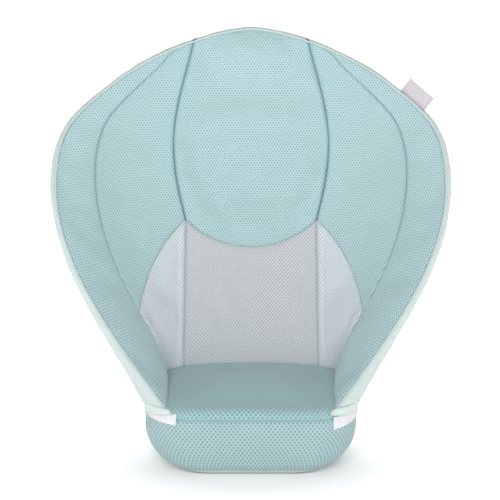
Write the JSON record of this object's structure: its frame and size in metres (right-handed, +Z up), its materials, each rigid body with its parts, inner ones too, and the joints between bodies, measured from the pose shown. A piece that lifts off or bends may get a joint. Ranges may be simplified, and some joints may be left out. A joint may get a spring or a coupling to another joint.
{
  "type": "baby bath seat",
  "caption": "Soft baby bath seat: a padded mesh shell with flared sides leans back from a thick seat cushion and folds back about its rear edge.",
  "frame": {"origin": "middle of the seat cushion's flat underside", "axes": "+Z up, the baby faces -Y, +X to the right seen from the front; left and right in node names are as seen from the front"},
  "size_m": [0.4336, 0.3283, 0.4109],
  "materials": {
    "mint_mesh": "open hexagonal spacer mesh, soft sheen",
    "grey_mesh": "light grey spacer mesh, soft sheen",
    "pale_knit": "pale grey-mint plain knit",
    "foam": "soft foam",
    "piping": "darker mint folded edge",
    "label_weave": "light grey woven ribbon",
    "white_tape": "white hook tape",
    "binding": "folded binding tape"
  },
  "bodies": {
    "seat": {"seat_top_panel": "mint_mesh", "seat_border": "mint_mesh", "seat_base_panel": "pale_knit", "seat_foam": "foam", "hinge_binding": "binding"},
    "shell": {"head_panel": "mint_mesh", "lumbar_panel": "grey_mesh", "left_inner_panel": "mint_mesh", "right_inner_panel": "mint_mesh", "left_hip_panel": "grey_mesh", "right_hip_panel": "grey_mesh", "left_rim_panel": "mint_mesh", "right_rim_panel": "mint_mesh", "back_foam": "foam", "left_wing_foam": "foam", "right_wing_foam": "foam", "rear_cover_centre": "pale_knit", "left_rear_cover": "pale_knit", "right_rear_cover": "pale_knit", "rim_band": "pale_knit", "rim_piping": "piping", "side_label": "label_weave", "left_hook_tab": "white_tape", "right_hook_tab": "white_tape"}
  },
  "joints": [
    {"name": "back_fold", "type": "hinge", "parent": "seat", "child": "shell", "pos_m": [0, 0.07247, 0.0711], "axis": [-1, 0, 0], "range_deg": [0, 60]}
  ]
}
